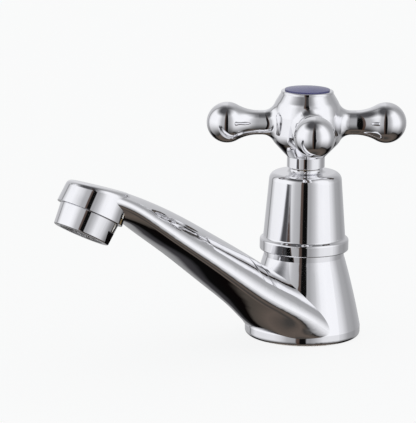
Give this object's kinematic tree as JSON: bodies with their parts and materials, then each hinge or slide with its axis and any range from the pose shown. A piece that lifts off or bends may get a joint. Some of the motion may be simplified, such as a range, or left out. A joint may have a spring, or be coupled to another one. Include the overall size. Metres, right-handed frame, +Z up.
{
  "type": "cross handle tap",
  "caption": "Single basin pillar tap with a rising spout, a bell-shaped bonnet, a cross handle with ball-ended arms, a blue index disc and a threaded tail below the deck.",
  "frame": {"origin": "centre of the base's underside, on the deck that the tap stands on", "axes": "+Z up the tap's axis, the spout reaches along -Y"},
  "size_m": [0.0664, 0.1489, 0.1463],
  "materials": {
    "chrome": "polished",
    "index_blue": "gloss",
    "brass": "machined",
    "stainless": "satin",
    "black_rubber": "matte",
    "pale_rubber": "matte",
    "red_fibre": "matte",
    "white_nylon": "matte"
  },
  "bodies": {
    "body": {"tap_body": "chrome", "bonnet": "chrome", "bonnet_seal": "black_rubber", "headwork_body": "brass", "headwork_seal": "red_fibre", "thrust_washer": "white_nylon", "aerator_housing": "chrome", "aerator_insert": "white_nylon", "aerator_mesh": "stainless", "aerator_washer": "black_rubber", "tail": "brass", "tail_seal": "red_fibre", "base_gasket": "pale_rubber", "deck_washer": "white_nylon", "back_nut": "brass"},
    "handle": {"cross_handle": "chrome", "handle_screw": "stainless", "index_disc": "index_blue", "spindle": "brass", "spindle_o_rings": "black_rubber", "retaining_clip": "stainless"},
    "valve": {"valve_carrier": "brass", "valve_washer": "black_rubber", "washer_screw": "brass"}
  },
  "joints": [
    {"name": "handle_turn", "type": "hinge", "parent": "body", "child": "handle", "pos_m": [0, 0, 0.0835], "axis": [0, 0, 1], "range_deg": [0, 490]},
    {"name": "valve_lift", "type": "slide", "parent": "body", "child": "valve", "axis": [0, 0, 1], "range_m": [0, 0.00415]}
  ],
  "couplings": [
    {"joint": "valve_lift", "follows": "handle_turn", "m_per_rad": 0.00047746}
  ]
}
